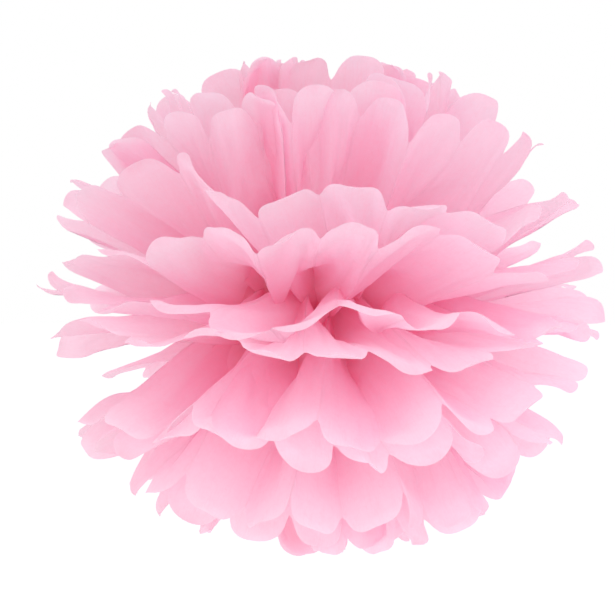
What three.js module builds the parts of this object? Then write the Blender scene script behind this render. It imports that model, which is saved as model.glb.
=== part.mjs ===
// A tissue paper pom pom: twelve sheets stacked, pleated together like an accordion, tied across the
// middle with one twisted wire, then fanned open and drawn apart layer by layer into a ball.
//
// Millimetres, +Z up. The origin is the middle of the tie. The folded strip lies along Y, so each
// sheet makes one fan on the +Y side and one on the -Y side, and the two fans of a sheet meet in a
// narrow seam along X. Z is the pleats' own depth direction: the layers part along it, six sheets
// above the middle and six below.
import * as THREE from "three";

// Paper
const SHEETS = 12;
const PANELS = 12; // pleat panels across a sheet
const SHEET_WIDTH = 500; // across the pleats, flat
const SHEET_LENGTH = 355; // petal tip to petal tip, flat
const PETAL_ROUNDING = 24; // how far a petal's tip stands past the notches beside it
const PETAL_SEGMENTS = 6; // straight cuts round one petal's end
const PAPER = 0.3; // wall of the solid sheet
const PANEL_WIDTH = SHEET_WIDTH / PANELS;
const HALF_LENGTH = SHEET_LENGTH / 2;

// Waist, where the wire holds the stack
const WAIST_HALF_WIDTH = 12;
const WAIST_HALF_HEIGHT = 9; // of the ellipse that the layers' widths follow
const WAIST_PITCH = 0.9; // between neighbouring sheets
const WAIST_PLEAT = 0.2; // half the depth of a pleat pressed flat
const TIED_HALF_LENGTH = 4; // each fan starts here

// Fans
const FAN_ANGLE = THREE.MathUtils.degToRad(180); // one fan, first fold to last
const STEEPEST = THREE.MathUtils.degToRad(76); // rise of the outermost sheets
const RISE_LENGTH = 34; // along the paper, from level to its full rise
const DROOP = 0.12; // share of its rise that a layer loses by its tips
const PLEAT_OPENS_OVER = 60; // along the paper, from pressed flat to full depth
const MOST_PLEAT_SHARE = 0.55; // of the distance from the pole, so that steep pleats stay apart
const FAN_ROWS = [12, 24, 44, 76, 112]; // cross rows of a fan's facets, from the middle of the strip
const PROFILE_STEPS = 24; // of the sum that follows a layer outwards

// Wire
const WIRE_RADIUS = 0.45;
const RING_HALF_WIDTH = 13.6;
const RING_HALF_HEIGHT = 7.4;
const RING_SQUARENESS = 2.6; // exponent of the ring's superellipse
const RING_POINTS = 18; // of the curve, in half the ring
const RING_TO_TWIST = 1; // height over which the ring's two halves run into the twist
const TWIST_RADIUS = 0.56; // of the helix that each strand follows
const TWIST_TURNS = 2.5;
const TWIST_POINTS = 20;
const NECK_LENGTH = 10; // twist below the hanging eye
const TAIL_LENGTH = 9; // twist at the cut ends
const EYE_RADIUS = 3.2;
const EYE_POINTS = 8; // of the curve, in half the eye
const EYE_OPENING = 0.5; // angle from straight down at which each strand meets the eye
const WIRE_SIDES = 6; // of the hexagon that stands for the wire's round section
const WIRE_STEPS = 150;

const paperColour = new THREE.Color(0.96, 0.68, 0.76);
const wireColour = new THREE.Color(0.72, 0.72, 0.7);

const smooth = (t) => THREE.MathUtils.smoothstep(t, 0, 1);

// Rise above the level at the middle of the sheet, where the paper has left the tie by `run`.
function riseAt(fullRise, run) {
  return fullRise * smooth(run / RISE_LENGTH) * (1 - DROOP * (run / HALF_LENGTH) ** 2);
}

// Distance out and height that a layer has reached after `run` of paper past the tie.
function profileAt(fullRise, run) {
  const step = run / PROFILE_STEPS;
  let out = 0;
  let up = 0;
  for (let i = 0; i < PROFILE_STEPS; i++) {
    const rise = riseAt(fullRise, step * (i + 0.5));
    out += Math.cos(rise) * step;
    up += Math.sin(rise) * step;
  }
  return { out, up };
}

// Half the depth of the pleats, from what the panels' width leaves once the fan has spread them.
function pleatAt(spacing, out, run) {
  const full = 0.5 * Math.sqrt(Math.max(PANEL_WIDTH ** 2 - spacing ** 2, 0));
  const free = Math.min(full, MOST_PLEAT_SHARE * (out + TIED_HALF_LENGTH));
  return THREE.MathUtils.lerp(WAIST_PLEAT, free, smooth(run / PLEAT_OPENS_OVER));
}

// A sheet's middle surface. `across` counts folds from 0 to PANELS, and may lie between two folds;
// `along` is the distance from the middle of the strip, negative on the -Y side. Returns the point
// and the step from it to the paper's outer face.
function sheetPoint(sheet, across, along) {
  const level = sheet - (SHEETS - 1) / 2;
  const height = level * WAIST_PITCH;
  const waistHalf = WAIST_HALF_WIDTH * Math.sqrt(1 - (height / WAIST_HALF_HEIGHT) ** 2);
  const fullRise = (STEEPEST * level) / ((SHEETS - 1) / 2);
  const side = Math.sign(along) || 1;
  const run = Math.max(Math.abs(along) - TIED_HALF_LENGTH, 0);
  const rise = riseAt(fullRise, run);
  const { out, up } = profileAt(fullRise, run);
  const panelAngle = FAN_ANGLE / PANELS;
  const spacing = 2 * out * Math.sin(panelAngle / 2) + (2 * waistHalf) / PANELS;
  const pleat = pleatAt(spacing, out, run);
  const slope = Math.atan2(2 * pleat, spacing);
  const wall = PAPER / Math.cos(slope) / 2;

  const onFold = (fold) => {
    const angle = (fold / PANELS - 0.5) * FAN_ANGLE;
    const depth = fold % 2 ? -pleat : pleat;
    const inward = Math.sin(rise);
    const reach = out - depth * inward;
    const x = (0.5 - fold / PANELS) * 2 * waistHalf - reach * Math.sin(angle);
    const y = Math.min(Math.abs(along), TIED_HALF_LENGTH) + reach * Math.cos(angle);
    const z = height + up + depth * Math.cos(rise);
    const normal = new THREE.Vector3(
      inward * Math.sin(angle), -inward * Math.cos(angle) * side, Math.cos(rise),
    );
    return { point: new THREE.Vector3(x, y * side, z), face: normal.multiplyScalar(wall) };
  };
  const fold = Math.min(Math.floor(across), PANELS - 1);
  const share = across - fold;
  const a = onFold(fold);
  const b = onFold(fold + 1);
  return { point: a.point.lerp(b.point, share), face: a.face.lerp(b.face, share) };
}

// The flat layout of a sheet: its places as [across, along], and its triangles.
function flatSheet() {
  const places = [];
  const index = new Map();
  const triangles = [];
  const place = (across, along) => {
    const key = `${across.toFixed(4)} ${along.toFixed(3)}`;
    if (!index.has(key)) {
      index.set(key, places.length);
      places.push([across, along]);
    }
    return index.get(key);
  };
  const triangle = (a, b, c) => triangles.push([a, b, c]);
  const notch = HALF_LENGTH - PETAL_ROUNDING;
  const fanRows = [TIED_HALF_LENGTH, ...FAN_ROWS, notch];
  const rows = [...fanRows.map((row) => -row).reverse(), 0, ...fanRows];
  for (let panel = 0; panel < PANELS; panel++) {
    for (let r = 0; r + 1 < rows.length; r++) {
      const a = place(panel, rows[r]);
      const b = place(panel + 1, rows[r]);
      const c = place(panel + 1, rows[r + 1]);
      const d = place(panel, rows[r + 1]);
      triangle(a, c, b);
      triangle(a, d, c);
    }
    for (const side of [-1, 1]) {
      const rim = [];
      for (let i = 0; i <= PETAL_SEGMENTS; i++) {
        const angle = (Math.PI * i) / PETAL_SEGMENTS;
        const stand = PETAL_ROUNDING * Math.sin(angle);
        rim.push(place(panel + (1 + Math.cos(angle)) / 2, side * (notch + stand)));
      }
      for (let i = 1; i < PETAL_SEGMENTS; i++) {
        if (side > 0) triangle(rim[0], rim[i + 1], rim[i]);
        else triangle(rim[0], rim[i], rim[i + 1]);
      }
    }
  }
  return { places, triangles };
}

// Both faces of the flat layout, folded, and the cut edge between them.
function sheetGeometry(sheet, { places, triangles }) {
  const folded = places.map(([across, along]) => sheetPoint(sheet, across, along));
  const positions = [];
  folded.forEach(({ point, face }) => positions.push(...point.clone().add(face).toArray()));
  folded.forEach(({ point, face }) => positions.push(...point.clone().sub(face).toArray()));
  const under = places.length;
  const indices = [];
  const edges = new Map();
  for (const [a, b, c] of triangles) {
    indices.push(a, b, c, a + under, c + under, b + under);
    for (const [p, q] of [[a, b], [b, c], [c, a]]) {
      if (!edges.delete(`${q} ${p}`)) edges.set(`${p} ${q}`, [p, q]);
    }
  }
  for (const [p, q] of edges.values()) {
    indices.push(q, p, p + under, q, p + under, q + under);
  }
  const geometry = new THREE.BufferGeometry();
  geometry.setAttribute("position", new THREE.Float32BufferAttribute(positions, 3));
  geometry.setIndex(indices);
  return geometry;
}

// Centreline of the wire: cut end, twisted tail, round one side of the stack, twisted neck and half
// the eye, then the same again turned half a turn about Z.
function wireCurve() {
  const half = [];
  const towardsPlusX = 0;
  const towardsMinusX = Math.PI;
  const down = -Math.PI / 2;
  const twist = (from, to, startAngle) => {
    for (let i = 0; i <= TWIST_POINTS; i++) {
      const t = i / TWIST_POINTS;
      const angle = startAngle + TWIST_TURNS * 2 * Math.PI * t;
      const x = TWIST_RADIUS * Math.cos(angle);
      const y = TWIST_RADIUS * Math.sin(angle);
      half.push(new THREE.Vector3(x, y, THREE.MathUtils.lerp(from, to, t)));
    }
  };
  const squared = (share) => Math.sign(share) * Math.abs(share) ** (2 / RING_SQUARENESS);

  const twistStart = RING_HALF_HEIGHT + RING_TO_TWIST;
  twist(-twistStart - TAIL_LENGTH, -twistStart, towardsPlusX);
  for (let i = 1; i < RING_POINTS; i++) {
    const angle = down - (Math.PI * i) / RING_POINTS;
    const x = RING_HALF_WIDTH * squared(Math.cos(angle));
    const z = RING_HALF_HEIGHT * squared(Math.sin(angle));
    half.push(new THREE.Vector3(x, 0, z));
  }
  const neckTop = twistStart + NECK_LENGTH;
  twist(twistStart, neckTop, towardsMinusX);
  for (let i = 1; i <= EYE_POINTS; i++) {
    const angle = down + EYE_OPENING + ((Math.PI - EYE_OPENING) * i) / EYE_POINTS;
    const x = EYE_RADIUS * Math.cos(angle);
    const z = neckTop + EYE_RADIUS * (1 + Math.sin(angle));
    half.push(new THREE.Vector3(x, 0, z));
  }
  const turned = half.slice(0, -1).reverse().map((p) => new THREE.Vector3(-p.x, -p.y, p.z));
  return new THREE.CatmullRomCurve3([...half, ...turned], false, "centripetal");
}

function wireGeometry() {
  const corners = [];
  for (let i = 0; i < WIRE_SIDES; i++) {
    const angle = (2 * Math.PI * i) / WIRE_SIDES;
    corners.push(new THREE.Vector2(WIRE_RADIUS * Math.cos(angle), WIRE_RADIUS * Math.sin(angle)));
  }
  return new THREE.ExtrudeGeometry(new THREE.Shape(corners), {
    steps: WIRE_STEPS,
    extrudePath: wireCurve(),
    bevelEnabled: false,
  });
}

const pomPom = new THREE.Group();

const flat = flatSheet();
for (let sheet = 0; sheet < SHEETS; sheet++) {
  const paper = new THREE.MeshStandardMaterial({
    color: paperColour, roughness: 0.85, metalness: 0, side: THREE.DoubleSide,
  });
  const mesh = new THREE.Mesh(sheetGeometry(sheet, flat), paper);
  mesh.name = `tissue_sheet_${String(sheet + 1).padStart(2, "0")}`;
  pomPom.add(mesh);
}

const steel = new THREE.MeshStandardMaterial({ color: wireColour, roughness: 0.35, metalness: 1 });
const tie = new THREE.Mesh(wireGeometry(), steel);
tie.name = "tie_wire";
pomPom.add(tie);

export default pomPom;
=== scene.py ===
import math

import bmesh
import bpy
import numpy as np
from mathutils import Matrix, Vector


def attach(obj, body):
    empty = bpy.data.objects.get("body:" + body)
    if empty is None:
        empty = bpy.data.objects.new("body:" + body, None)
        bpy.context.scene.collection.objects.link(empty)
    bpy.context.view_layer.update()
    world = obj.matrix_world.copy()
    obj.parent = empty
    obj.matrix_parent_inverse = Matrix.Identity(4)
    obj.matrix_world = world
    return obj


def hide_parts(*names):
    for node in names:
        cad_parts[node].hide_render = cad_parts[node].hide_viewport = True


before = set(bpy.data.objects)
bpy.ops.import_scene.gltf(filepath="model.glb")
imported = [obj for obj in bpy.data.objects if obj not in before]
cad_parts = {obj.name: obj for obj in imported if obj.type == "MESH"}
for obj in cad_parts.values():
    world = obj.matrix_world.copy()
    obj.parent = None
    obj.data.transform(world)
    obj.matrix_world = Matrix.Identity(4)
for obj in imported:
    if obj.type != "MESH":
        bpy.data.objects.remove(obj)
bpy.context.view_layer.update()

# A tissue paper pom pom, in metres, +Z up, its tie at the origin. Twelve sheets are pleated together
# into a strip along Y, tied across its middle and drawn apart, so that each sheet is one fan towards +Y
# and one towards -Y. The sheets meet in a seam along X.

# The sheets as they are cut
SHEETS = 12
PANELS = 12
SHEET_WIDTH = 0.5
SHEET_LENGTH = 0.355
PETAL_ROUNDING = 0.024
PANEL_WIDTH = SHEET_WIDTH / PANELS
HALF_LENGTH = SHEET_LENGTH / 2

# The grid that a sheet is folded from: cells across each panel, how much of their spacing is even and how
# much crowds towards the creases, and rows from the tie to a petal's tip
CELLS = 8
EVEN_SPACING = 0.45
CROWDED_SPACING = 0.55
ROWS = 26

# The tie: half the length of paper that it grips, half the width and height of the gathered waist, and the
# height from one sheet to the next in it
TIED_HALF = 0.004
WAIST_HALF = 0.012
WAIST_HEIGHT = 0.009
WAIST_PITCH = 0.0009

# How the fans are opened: how steep the outermost sheets rise and over what length, how far the paper hangs
# and strays from that, the widest fan, how much of its arc the paper fills, how deep its pleats may be as a
# share of the distance out, and the most of its width that a sheet opens to
SEED = 3
STEEPEST = math.radians(84)
LEVEL_POWER = 1.12
RISE_LENGTH = 0.034
DROOP = math.radians(6)
STEEP_DROOP_LOSS = 0.6
STEEPNESS_SPREAD = math.radians(2.5)
CREASE_WANDER = math.radians(5)
WANDER_PACE = 1.3
TIP_CURL = math.radians(12)
WIDEST_FAN = math.radians(176)
LIFTED_PACE = 2.2
LEVEL_FILL = 0.96
STEEP_FILL = 0.87
SWING = (math.radians(9), math.radians(17))
LEVEL_DEPTH = 0.42
STEEP_DEPTH = 0.8
FULLEST = 0.98
RUN_STEPS = 60

# Distances from the tie: where the fan starts to spread and its pleats to open, and over what length
SPREAD_FROM = 0.01
SPREAD_OVER = 0.05
PRESSED_TO = 0.035
OPENED_OVER = 0.1

# A panel's turn out of its fan's arc, in degrees, how taut it is between its creases and how far it leans,
# and how the best of many patterns is picked
OPEN_TURN = (6, 52)
DOUBLED_TURN = (118, 166)
TAUT = (0.94, 0.995)
LEAN = (0.6, 1.2)
NONE_DOUBLED_FROM = 0.97
DOUBLED_RANGE = 1.6
MOST_DOUBLED = 0.5
PATTERN_TRIES = 160
MOST_STRAY = 0.4
STRAY_COST = 3

# The paper's small unevenness, and from where and over what length it and the petals' roundness show
LOOSE_FROM = 0.04
LOOSE_OVER = 0.08
RUMPLE_WAVES = 14
RUMPLE_LENGTH = (0.016, 0.05)
RUMPLE_HEIGHT = 0.0013

# How the paper settles: the steps and the passes in each, how far it sinks in a step, how much of its motion
# it keeps, and how far from the tie it is held still
SETTLE_STEPS = 40
SETTLE_PASSES = 8
SINK = 4e-5
DAMPING = 0.85
HELD_STILL = 3 * TIED_HALF
FREED_OVER = 0.03

# How firmly the paper keeps its lengths, and how much of that is left against being pressed together
ACROSS_HOLD = (1, 0.12)
SLANTED_HOLD = (0.6, 0.1)
ALONG_HOLD = (1, 0.9)
ACROSS_BEND = (0.06, 1)
ALONG_BEND = (0.1, 1)
BEND_SPANS = (2, 4)


def smooth(t):
    t = np.clip(t, 0, 1)
    return t * t * (3 - 2 * t)


def cut_sheet():
    """Each grid point of the flat sheet: its place across, in panels, along, in metres from the tie, and how
    far it lies from the cut end."""
    even = np.arange(CELLS) / CELLS
    crowded = (1 - np.cos(np.pi * even)) / 2
    share = EVEN_SPACING * even + CROWDED_SPACING * crowded
    folds = np.append((np.arange(PANELS)[:, None] + share).ravel(), PANELS)
    end = HALF_LENGTH - PETAL_ROUNDING + PETAL_ROUNDING * np.sqrt(1 - (2 * (folds % 1) - 1) ** 2)
    rows = np.arange(-ROWS, ROWS + 1) / ROWS
    across = np.repeat(folds[:, None], len(rows), axis=1)
    along = end[:, None] * rows
    return across, along, end[:, None] - np.abs(along)


def fold_side():
    """Which way each panel goes, up or down, in the accordion."""
    return np.where(np.arange(PANELS) % 2, -1.0, 1.0)[:, None]


def fold_pattern(rng, wanted):
    """How far each panel of a fan is turned at its petal, and how taut it is. A panel past a right angle
    doubles back under its neighbour. Of many ways to open the fan, the one that best fills `wanted` metres
    of arc and strays least from its layer is kept."""
    share = min(wanted / (np.mean(TAUT) * SHEET_WIDTH), FULLEST)
    widest = min(OPEN_TURN[1], 2 * math.degrees(math.acos(share)))
    chance = np.clip((NONE_DOUBLED_FROM - share) / DOUBLED_RANGE, 0, MOST_DOUBLED)
    best = None
    for _ in range(PATTERN_TRIES):
        taut = rng.uniform(*TAUT, (PANELS, 1))
        doubled = rng.random((PANELS, 1)) < chance
        back = rng.uniform(*DOUBLED_TURN, (PANELS, 1))
        onward = rng.uniform(OPEN_TURN[0], widest, (PANELS, 1))
        turn = np.radians(np.where(doubled, back, onward))
        width = PANEL_WIDTH * taut * np.cos(turn)
        stray = np.std(np.cumsum(fold_side() * taut * np.sin(turn)))
        score = abs(width.sum() - wanted) / PANEL_WIDTH + STRAY_COST * max(stray - MOST_STRAY, 0)
        if best is None or score < best[0]:
            best = (score, turn, taut)
    return best[1], best[2]


def from_first_crease(steps):
    """Running totals over the panels, which start from nothing at the first crease."""
    return np.concatenate([np.zeros_like(steps[:1]), np.cumsum(steps, axis=0)])


def open_fan(rng, level, swing, run):
    """The creases of one fan at each length of `run`: azimuth, distance out, height, depth in the pleats and
    rise, each as (crease, run), and how taut each panel is."""
    creases = PANELS + 1
    even = np.linspace(-0.5, 0.5, creases)[:, None]
    far = run / run[-1]
    steep = STEEPEST * np.sign(level) * abs(level) ** LEVEL_POWER + STEEPNESS_SPREAD * rng.normal()
    wander = rng.normal(0, CREASE_WANDER, (creases, 1))
    curl = rng.normal(0, TIP_CURL, (creases, 1))
    rise = steep * smooth(run / RISE_LENGTH) - DROOP * (1 - STEEP_DROOP_LOSS * abs(level)) * far ** 2
    rise = rise + (wander - wander.mean()) * smooth(far * WANDER_PACE) + curl * smooth(2 * far - 1)
    step = run[1] - run[0]
    out = np.cumsum(np.cos(rise), axis=1) * step
    up = np.cumsum(np.sin(rise), axis=1) * step

    reach = np.maximum(out.mean(axis=0), 1e-4)
    lifted = smooth(LIFTED_PACE * abs(level))
    fill = LEVEL_FILL + (STEEP_FILL - LEVEL_FILL) * lifted
    fan = min(WIDEST_FAN, fill * SHEET_WIDTH / reach[-1])
    turn, taut = fold_pattern(rng, fan * reach[-1])
    pressed = np.arccos(np.clip(fan * reach / SHEET_WIDTH, 0, FULLEST))
    opened = smooth((run - PRESSED_TO) / OPENED_OVER)
    angle = pressed * (1 - opened) + turn * opened
    arc = from_first_crease(taut * PANEL_WIDTH * np.cos(angle))
    arc = (arc - arc[-1] / 2) * fan * reach / np.maximum(arc[-1], 1e-3)
    spread = smooth((run - SPREAD_FROM) / SPREAD_OVER)
    azimuth = fan * even * (1 - spread) + arc / reach * spread + swing * smooth(far)
    depth = from_first_crease(fold_side() * taut * PANEL_WIDTH * np.sin(angle))
    most = (LEVEL_DEPTH + (STEEP_DEPTH - LEVEL_DEPTH) * lifted) * (out + TIED_HALF)
    depth = np.clip(depth - depth.mean(axis=0), -most, most)
    return azimuth, out, up, depth, rise, taut


def rumples(rng, across, along):
    """The small unevenness of handled paper, in metres: waves of many lengths and headings."""
    height = np.zeros(across.shape)
    for _ in range(RUMPLE_WAVES):
        pace = 2 * math.pi / rng.uniform(*RUMPLE_LENGTH)
        heading = rng.uniform(0, 2 * math.pi)
        phase = rng.uniform(0, 2 * math.pi)
        onward = across * PANEL_WIDTH * math.cos(heading) + along * math.sin(heading)
        height += np.sin(pace * onward + phase)
    return RUMPLE_HEIGHT / math.sqrt(RUMPLE_WAVES) * height


def fold_half(rng, level, height, side, swing, across, along):
    """Grid points of one fan of a sheet, which reaches towards +Y or -Y from the tie."""
    run = np.linspace(0, HALF_LENGTH - TIED_HALF, RUN_STEPS)
    azimuth, out, up, depth, rise, taut = open_fan(rng, level, swing, run)
    waist = WAIST_HALF * math.sqrt(1 - (height / WAIST_HEIGHT) ** 2)
    waist_x = np.linspace(waist, -waist, PANELS + 1)[:, None]
    reach = out - depth * np.sin(rise)
    crease = np.stack([
        waist_x - reach * np.sin(azimuth),
        reach * np.cos(azimuth),
        height + up + depth * np.cos(rise),
    ], axis=-1)

    panel = np.minimum(across.astype(int), PANELS - 1)
    t = (across - panel)[..., None]
    last = RUN_STEPS - 2.001  # leaves two lengths of the run past it, which `ahead` reads
    place = np.clip((along - TIED_HALF) / run[1], 0, last)
    low = place.astype(int)
    part = (place - low)[..., None]
    first = crease[panel, low] * (1 - part) + crease[panel, low + 1] * part
    second = crease[panel + 1, low] * (1 - part) + crease[panel + 1, low + 1] * part
    ahead = crease[panel, low + 2] + crease[panel + 1, low + 2] - crease[panel, low] - crease[panel + 1, low]
    normal = np.cross(second - first, ahead)
    normal /= np.linalg.norm(normal, axis=-1, keepdims=True) + 1e-12
    lean = rng.choice([-1, 1], (PANELS, 1)) * rng.uniform(*LEAN, (PANELS, 1))
    bulge = (PANEL_WIDTH * np.sqrt(3 / 8 * (1 / taut - 1)) * lean)[panel]
    rounding = smooth((along - LOOSE_FROM) / LOOSE_OVER)[..., None]
    relief = bulge * 4 * t * (1 - t) + rumples(rng, across, along)[..., None]
    points = first * (1 - t) + second * t + normal * relief * rounding
    points[..., 1] += np.minimum(along, TIED_HALF)
    points[..., 1] *= side
    return points


def fold_sheets(seed, across, along):
    """All the sheets, folded, tied and opened, as (sheet, column, row, place)."""
    rng = np.random.default_rng(seed)
    points = np.zeros((SHEETS, *across.shape, 3))
    for sheet in range(SHEETS):
        step = sheet - (SHEETS - 1) / 2
        level = 2 * step / (SHEETS - 1)
        swing = rng.uniform(*SWING) * (1 if sheet % 2 else -1)
        for side, rows in ((-1, slice(ROWS, None, -1)), (1, slice(ROWS, None))):
            points[sheet, :, rows] = fold_half(
                rng, level, step * WAIST_PITCH, side, swing * side, across[:, rows], np.abs(along[:, rows]))
    return points


def pairs(count, span):
    """Pairs of grid lines that are `span` apart, in sets in which no line comes twice."""
    for first in range(2 * span):
        yield slice(first, count - span, 2 * span), slice(first + span, count, 2 * span)


def ties_of(points, across, along):
    """What holds each two grid points of a sheet at their distance: the points, the distance, how firmly
    they are held, and how much of that firmness is left against being pressed together."""
    flat = np.stack([across * PANEL_WIDTH, along], axis=-1)
    columns, rows = across.shape
    whole = slice(None)
    ties = []

    def tie(a, b, hold, bends=False):
        length = np.linalg.norm(flat[a] - flat[b], axis=-1)[None]
        a = (whole, *a)
        b = (whole, *b)
        if bends:
            length = np.minimum(length, np.linalg.norm(points[a] - points[b], axis=-1))
        ties.append((a, b, length, *hold))

    for a, b in pairs(columns, 1):
        tie((a, whole), (b, whole), ACROSS_HOLD)
        tie((a, slice(None, -1)), (b, slice(1, None)), SLANTED_HOLD)
        tie((a, slice(1, None)), (b, slice(None, -1)), SLANTED_HOLD)
    for a, b in pairs(rows, 1):
        tie((whole, a), (whole, b), ALONG_HOLD)
    for span in BEND_SPANS:
        for a, b in pairs(columns, span):
            tie((a, whole), (b, whole), ACROSS_BEND, bends=True)
        for a, b in pairs(rows, span):
            tie((whole, a), (whole, b), ALONG_BEND, bends=True)
    return ties


def settle(points, across, along):
    """Lets the folded paper settle: it hardly stretches, resists bending and hangs under its weight."""
    free = smooth((np.abs(along) - HELD_STILL) / FREED_OVER)[None, :, :, None] * np.ones((SHEETS, 1, 1, 1))
    ties = ties_of(points, across, along)
    before = points.copy()
    for _ in range(SETTLE_STEPS):
        move = (points - before) * DAMPING - np.array([0, 0, SINK])
        before = points.copy()
        points = points + move * free
        for _ in range(SETTLE_PASSES):
            for a, b, length, firmness, press in ties:
                gap = points[b] - points[a]
                distance = np.sqrt(np.einsum("...i,...i", gap, gap)) + 1e-12
                error = 1 - length / distance
                error = np.where(error < 0, press * error, error) * firmness / 2
                gap *= error[..., None]
                points[a] += gap * free[a]
                points[b] -= gap * free[b]
    return points


def sheet_mesh(name, across, along, from_edge, points):
    """A sheet's mesh, with the flat sheet as its map and the distance from its cut ends kept on it."""
    columns, rows = across.shape
    bm = bmesh.new()
    bmesh.ops.create_grid(bm, x_segments=columns - 1, y_segments=rows - 1, size=1)
    mesh = bpy.data.meshes.new(name)
    bm.to_mesh(mesh)
    bm.free()
    grid = np.empty(len(mesh.vertices) * 3)
    mesh.vertices.foreach_get("co", grid)
    grid = (grid.reshape(-1, 3) + 1) / 2
    i = np.rint(grid[:, 0] * (columns - 1)).astype(int)
    j = np.rint(grid[:, 1] * (rows - 1)).astype(int)
    mesh.vertices.foreach_set("co", points[i, j].ravel())
    corner = np.empty(len(mesh.loops), dtype=int)
    mesh.loops.foreach_get("vertex_index", corner)
    layout = np.stack([across[i, j] / PANELS, along[i, j] / SHEET_LENGTH + 0.5], axis=-1)
    mesh.uv_layers.new(name="flat").data.foreach_set("uv", layout[corner].ravel())
    mesh.attributes.new("from_edge", "FLOAT", "POINT").data.foreach_set("value", from_edge[i, j])
    mesh.shade_smooth()
    mesh.update()
    piece = bpy.data.objects.new(name, mesh)
    bpy.context.collection.objects.link(piece)
    finish = piece.modifiers.new("soft folds", "SUBSURF")
    finish.levels = finish.render_levels = 1
    return piece


class Signal:
    """A node's output that takes part in plain arithmetic."""

    def __init__(self, nodes, socket):
        self.nodes = nodes
        self.socket = socket

    def maths(self, operation, *values):
        return self.nodes.node("ShaderNodeMath", {"operation": operation}, dict(enumerate(values)))

    def __add__(self, other):
        return self.maths("ADD", self, other)

    def __sub__(self, other):
        return self.maths("SUBTRACT", self, other)

    def __rsub__(self, other):
        return self.maths("SUBTRACT", other, self)

    def __mul__(self, other):
        return self.maths("MULTIPLY", self, other)

    def __truediv__(self, other):
        return self.maths("DIVIDE", self, other)

    def __abs__(self):
        return self.maths("ABSOLUTE", self)

    def fraction(self):
        return self.maths("FRACT", self)

    def clamped(self):
        return self.maths("MAXIMUM", self.maths("MINIMUM", self, 1), 0)

    __radd__ = __add__
    __rmul__ = __mul__


class Nodes:
    """The nodes of a material or of the room."""

    def __init__(self, tree):
        self.tree = tree
        tree.nodes.clear()

    def node(self, kind, settings, sockets, output=0):
        """Adds a node, sets its settings, then its sockets from numbers or other outputs."""
        made = self.tree.nodes.new(kind)
        for name, value in settings.items():
            setattr(made, name, value)
        for name, value in sockets.items():
            if isinstance(value, Signal):
                self.tree.links.new(value.socket, made.inputs[name])
            else:
                made.inputs[name].default_value = value
        return Signal(self, made.outputs[output])

    def end(self, kind, shader):
        self.tree.links.new(shader.socket, self.tree.nodes.new(kind).inputs["Surface"])

    def colour_mix(self, share, first, second):
        return self.node("ShaderNodeMix", {"data_type": "RGBA"}, {0: share, 6: first, 7: second}, 2)

    def noise(self, vector, scale, detail, roughness=0.5):
        sockets = {"Vector": vector, "Scale": scale, "Detail": detail, "Roughness": roughness}
        return self.node("ShaderNodeTexNoise", {"noise_dimensions": "3D"}, sockets)

    def stretched(self, vector, stretch):
        return self.node("ShaderNodeVectorMath", {"operation": "MULTIPLY"}, {0: vector, 1: stretch})


def new_finish(name):
    """A bare material and its nodes."""
    material = bpy.data.materials.new(name)
    material.use_nodes = True
    return material, Nodes(material.node_tree)


# The paper's colours: its dye over most of it, painted light that makes it paler by the tie, its dye where
# its fibres lie thin, painted shade along its creases, its pale cut edges, and the colour and share of the
# light that passes through it
DYE = (0.99, 0.745, 0.84, 1)
PAINTED_LIGHT_BY_TIE = (1, 0.85, 0.85, 1)
PALE_DYE = (0.988, 0.84, 0.92, 1)
CREASE_PAINTED_SHADE = (0.985, 0.6, 0.7, 1)
CUT_EDGE = (0.985, 0.89, 0.96, 1)
GLOW = (1, 0.78, 0.87, 1)
THINNESS = 0.6

# How far the tie's creases and the painted light by the tie reach into the paper, and the widths of its pale
# cut edge and pressed folds
NEAR_TIE = 0.08
RIM_WIDTH = 0.0009
FOLD_WIDTH = 0.0007


def thin_lines(noise, width):
    """Wandering lines where a noise crosses its middle value."""
    return (1 - abs(noise - 0.5) / width).clamped()


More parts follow.
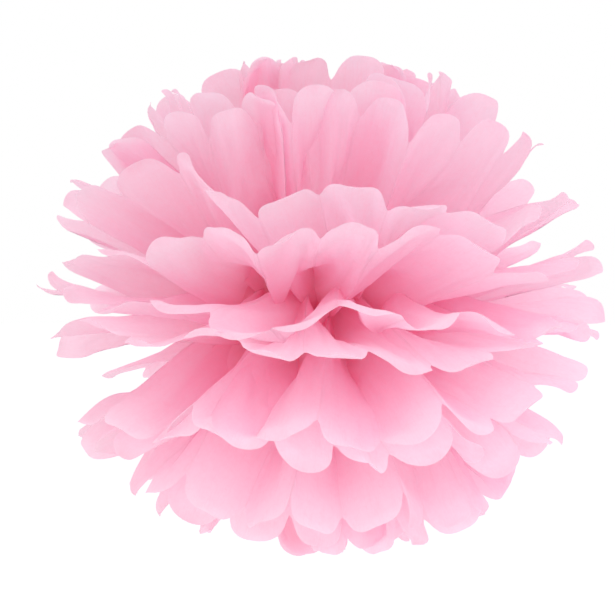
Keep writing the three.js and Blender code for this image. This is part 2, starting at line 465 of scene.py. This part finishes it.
def pink_tissue():
    """Thin dyed paper: cloudy fibres, pressed folds and crinkles fanning from the tie with painted shade
    along them, painted light that makes it paler by the tie, and pale cut edges.
    """
    material, finish = new_finish("pink_tissue")
    flat = finish.node("ShaderNodeUVMap", {"uv_map": "flat"}, {})
    place = finish.stretched(flat, (SHEET_WIDTH, SHEET_LENGTH, 0))
    across = finish.node("ShaderNodeSeparateXYZ", {}, {0: flat}, 0)
    along = abs(finish.node("ShaderNodeSeparateXYZ", {}, {0: flat}, 1) - 0.5) * SHEET_LENGTH
    from_edge = finish.node("ShaderNodeAttribute", {"attribute_name": "from_edge"}, {}, 2)

    near_tie = (1 - along / NEAR_TIE).clamped()
    rim = (1 - from_edge / RIM_WIDTH).clamped()
    from_fold = abs((across * PANELS + 0.5).fraction() - 0.5) * PANEL_WIDTH
    fold_line = (1 - from_fold / FOLD_WIDTH).clamped()
    clouds = finish.noise(place, scale=260, detail=4, roughness=0.6)
    fibres = finish.noise(finish.stretched(place, (1, 0.16, 1)), scale=1500, detail=2)
    crinkles = finish.noise(finish.stretched(place, (1, 0.12, 1)), scale=170, detail=3, roughness=0.55)
    rumples = finish.noise(place, scale=95, detail=2)

    # Painted light: the paper is made paler towards the tie, to brighten its shaded core.
    dye_painted_light_and_shade = finish.colour_mix(near_tie, DYE, PAINTED_LIGHT_BY_TIE)
    streaks = finish.noise(finish.stretched(place, (1, 0.07, 1)), scale=130, detail=3, roughness=0.6)
    mottle = (clouds * 1.8 + fibres * 1.2 + streaks * 1.2 - 1.7).clamped()
    dye_painted_light_and_shade = finish.colour_mix(mottle, dye_painted_light_and_shade, PALE_DYE)
    # Painted shade: deeper pink lines along the crinkles, the rumples and the pressed folds, with more of it
    # near the tie.
    crinkle_painted_shade = thin_lines(crinkles, width=0.02) * (0.3 + near_tie * 0.5)
    rumple_painted_shade = thin_lines(rumples, width=0.012) * 0.35
    dye_painted_light_and_shade = finish.colour_mix((crinkle_painted_shade + rumple_painted_shade + fold_line * 0.2).clamped(), dye_painted_light_and_shade, CREASE_PAINTED_SHADE)
    dye_painted_light_and_shade = finish.colour_mix(rim * 0.75, dye_painted_light_and_shade, CUT_EDGE)
    relief = rumples * 0.9 + crinkles * (0.5 + near_tie * 1.2) + clouds * 0.1 + fold_line * 0.35
    bump = finish.node("ShaderNodeBump", {}, {"Strength": 0.55, "Distance": 0.0011, "Height": relief})
    paper = finish.node("ShaderNodeBsdfPrincipled", {}, {
        "Base Color": dye_painted_light_and_shade, "Roughness": 0.72 + clouds * 0.16, "Specular IOR Level": 0.12, "Normal": bump,
    })
    glow = finish.node("ShaderNodeBsdfTranslucent", {}, {"Color": GLOW, "Normal": bump})
    thinness = THINNESS + (clouds - 0.5) * 0.14 - fold_line * 0.06
    shader = finish.node("ShaderNodeMixShader", {}, {0: thinness, 1: paper, 2: glow})
    finish.end("ShaderNodeOutputMaterial", shader)
    return material


# The wire's steel, bright and in its dull spots
BRIGHT_STEEL = (0.64, 0.63, 0.6, 1)
DULL_STEEL = (0.4, 0.39, 0.37, 1)


def bright_wire():
    """Drawn steel wire: fine lines along it, a soft shine and a few dull spots."""
    material, finish = new_finish("florist_wire")
    place = finish.node("ShaderNodeTexCoord", {}, {}, "Object")
    drawn = finish.noise(finish.stretched(place, (1, 9, 1)), scale=2400, detail=3)
    spots = finish.noise(place, scale=700, detail=4, roughness=0.65)
    colour = finish.colour_mix((spots * 2.2 - 0.7).clamped(), BRIGHT_STEEL, DULL_STEEL)
    bump = finish.node("ShaderNodeBump", {}, {"Strength": 0.4, "Distance": 0.00006, "Height": drawn})
    shader = finish.node("ShaderNodeBsdfPrincipled", {}, {
        "Base Color": colour, "Metallic": 1, "Roughness": 0.24 + spots * 0.3, "Normal": bump,
    })
    finish.end("ShaderNodeOutputMaterial", shader)
    return material


# The room: its white paint in two tones, the floor's own glow, its size and how far below the ball it lies
WHITE_PAINT = (0.95, 0.95, 0.95, 1)
WHITER_PAINT = (0.97, 0.97, 0.97, 1)
FLOOR_GLOW = 0.24
FLOOR_SIZE = 12
FLOOR_HEIGHT = -0.6


def white_floor():
    material, finish = new_finish("white_paint")
    place = finish.node("ShaderNodeTexCoord", {}, {}, "Object")
    shade = finish.colour_mix(finish.noise(place, scale=3, detail=3), WHITE_PAINT, WHITER_PAINT)
    shader = finish.node("ShaderNodeBsdfPrincipled", {}, {
        "Base Color": shade, "Roughness": 0.9,
        "Emission Color": (1, 1, 1, 1), "Emission Strength": FLOOR_GLOW,
    })
    finish.end("ShaderNodeOutputMaterial", shader)
    return material


# The light that the white room gives from the left and from the right
LEFT_LIGHT = (0.81, 0.795, 0.755, 1)
RIGHT_LIGHT = (0.86, 0.875, 0.98, 1)


def soft_lamp(name, place, size, power, colour):
    """A round area lamp, in metres and watts, turned to the ball."""
    light = bpy.data.lights.new(name, "AREA")
    light.shape = "DISK"
    light.size = size
    light.energy = power
    light.color = colour
    lamp = bpy.data.objects.new(name, light)
    lamp.location = place
    lamp.rotation_euler = (-Vector(place)).to_track_quat("-Z", "Y").to_euler()
    bpy.context.collection.objects.link(lamp)


def studio():
    """A pale floor well below the ball, white all round, and three soft lamps: right, front and back."""
    bpy.ops.mesh.primitive_plane_add(size=FLOOR_SIZE, location=(0, 0, FLOOR_HEIGHT))
    floor = bpy.context.object
    floor.name = "studio_floor"
    floor.data.materials.append(white_floor())
    world = bpy.data.worlds.new("studio")
    bpy.context.scene.world = world
    world.use_nodes = True
    room = Nodes(world.node_tree)
    heading = room.node("ShaderNodeTexCoord", {}, {})
    rightward = room.node("ShaderNodeSeparateXYZ", {}, {0: heading}) * 0.5 + 0.5
    looked_at = room.node("ShaderNodeLightPath", {}, {})
    colour = room.colour_mix(looked_at, room.colour_mix(rightward, LEFT_LIGHT, RIGHT_LIGHT), (1, 1, 1, 1))
    sky = room.node("ShaderNodeBackground", {}, {"Color": colour})
    room.end("ShaderNodeOutputWorld", sky)
    soft_lamp("soft_right", place=(0.9, -0.8, 0.7), size=0.8, power=3, colour=(1, 0.96, 1))
    soft_lamp("soft_front", place=(-0.2, -1.6, 0.3), size=1.2, power=2.6, colour=(1, 0.98, 0.97))
    soft_lamp("soft_back", place=(0.2, 1.6, 0.3), size=1.2, power=2, colour=(1, 0.98, 0.97))


# The camera: the width that it frames, its angle of view, how far above level it stands and what it faces
FRAME_WIDTH = 0.392
VIEW_ANGLE = math.radians(20)
ELEVATION = math.radians(5)
FACED = Vector((-0.0085, 0, -0.0045))


def set_camera():
    data = bpy.data.cameras.new("camera")
    data.angle = VIEW_ANGLE
    data.clip_start = 0.05
    camera = bpy.data.objects.new("camera", data)
    bpy.context.collection.objects.link(camera)
    distance = FRAME_WIDTH / 2 / math.tan(VIEW_ANGLE / 2)
    camera.location = FACED + distance * Vector((0, -math.cos(ELEVATION), math.sin(ELEVATION)))
    camera.rotation_euler = (FACED - camera.location).to_track_quat("-Z", "Y").to_euler()
    bpy.context.scene.camera = camera


across, along, from_edge = cut_sheet()
sheets = settle(fold_sheets(SEED, across, along), across, along)
tissue = pink_tissue()
for number, points in enumerate(sheets, 1):
    piece = sheet_mesh(f"tissue_{number:02d}", across, along, from_edge, points)
    piece.data.materials.append(tissue)
    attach(piece, "root")
    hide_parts(f"tissue_sheet_{number:02d}")

wire = bright_wire()
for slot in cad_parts["tie_wire"].material_slots:
    slot.material = wire

studio()
set_camera()
scene = bpy.context.scene
scene.view_settings.view_transform = "Standard"
scene.cycles.max_bounces = 40
scene.cycles.diffuse_bounces = 24
scene.cycles.transmission_bounces = 24
